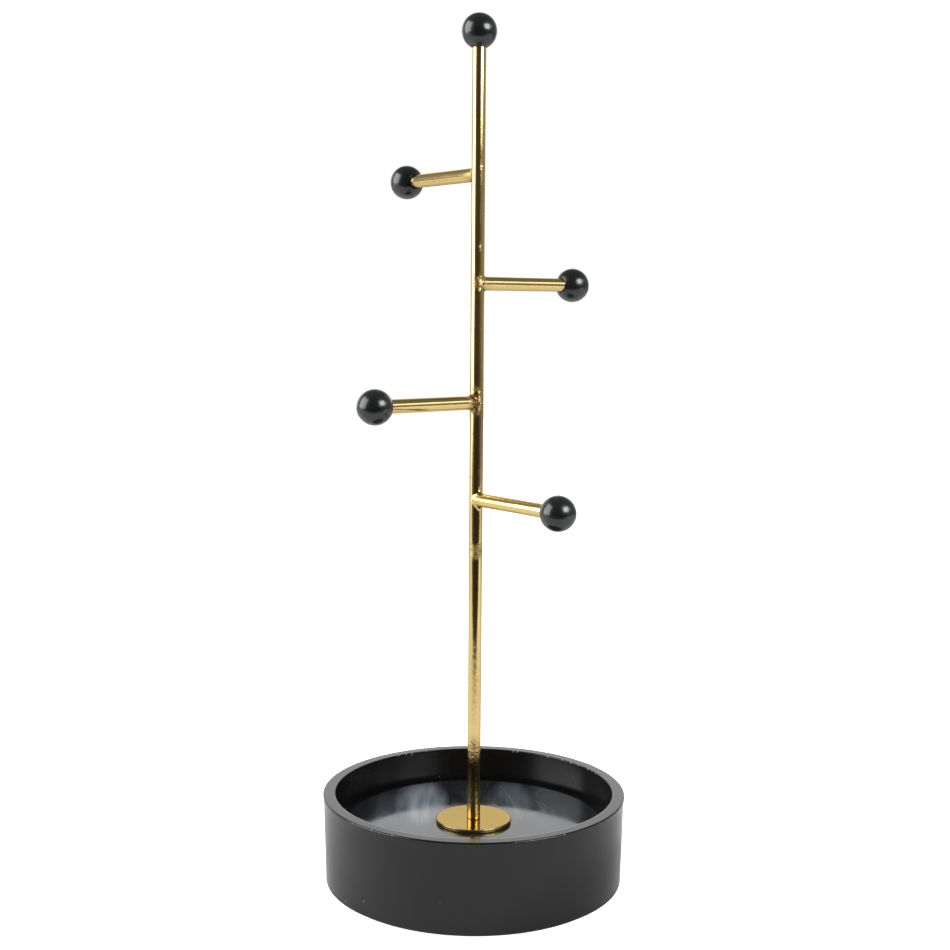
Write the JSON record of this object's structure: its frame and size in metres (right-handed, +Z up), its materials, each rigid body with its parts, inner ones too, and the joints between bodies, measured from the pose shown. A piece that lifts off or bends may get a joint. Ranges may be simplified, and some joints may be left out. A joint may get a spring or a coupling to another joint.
{
  "type": "jewelry stand",
  "caption": "Table-top jewelry tree: a gold rod with short side arms and black ball ends, standing in a round black tray with a raised rim.",
  "frame": {"origin": "centre of the underside of the base pad, on the surface that the stand rests on", "axes": "+Z up along the stem, -Y towards the front of the picture's view"},
  "size_m": [0.1208, 0.1208, 0.3404],
  "materials": {
    "gold_plate": "bright gold plating over polished rod",
    "black_lacquer": "satin black lacquer on turned wood",
    "gloss_black": "polished black sheet",
    "ball_black": "smooth black, half gloss",
    "pad_black": "matt foam rubber",
    "zinc_steel": "bright zinc"
  },
  "bodies": {
    "root": {"tray": "black_lacquer", "base_pad": "pad_black", "floor_disc": "gloss_black", "base_flange": "gold_plate", "stem_rod": "gold_plate", "ball_top": "ball_black", "flat_washer": "zinc_steel", "spring_washer": "zinc_steel", "fixing_nut": "zinc_steel", "arm_upper_left": "gold_plate", "braze_upper_left": "gold_plate", "ball_upper_left": "ball_black", "arm_upper_right": "gold_plate", "braze_upper_right": "gold_plate", "ball_upper_right": "ball_black", "arm_lower_left": "gold_plate", "braze_lower_left": "gold_plate", "ball_lower_left": "ball_black", "arm_lower_right": "gold_plate", "braze_lower_right": "gold_plate", "ball_lower_right": "ball_black"}
  },
  "joints": []
}
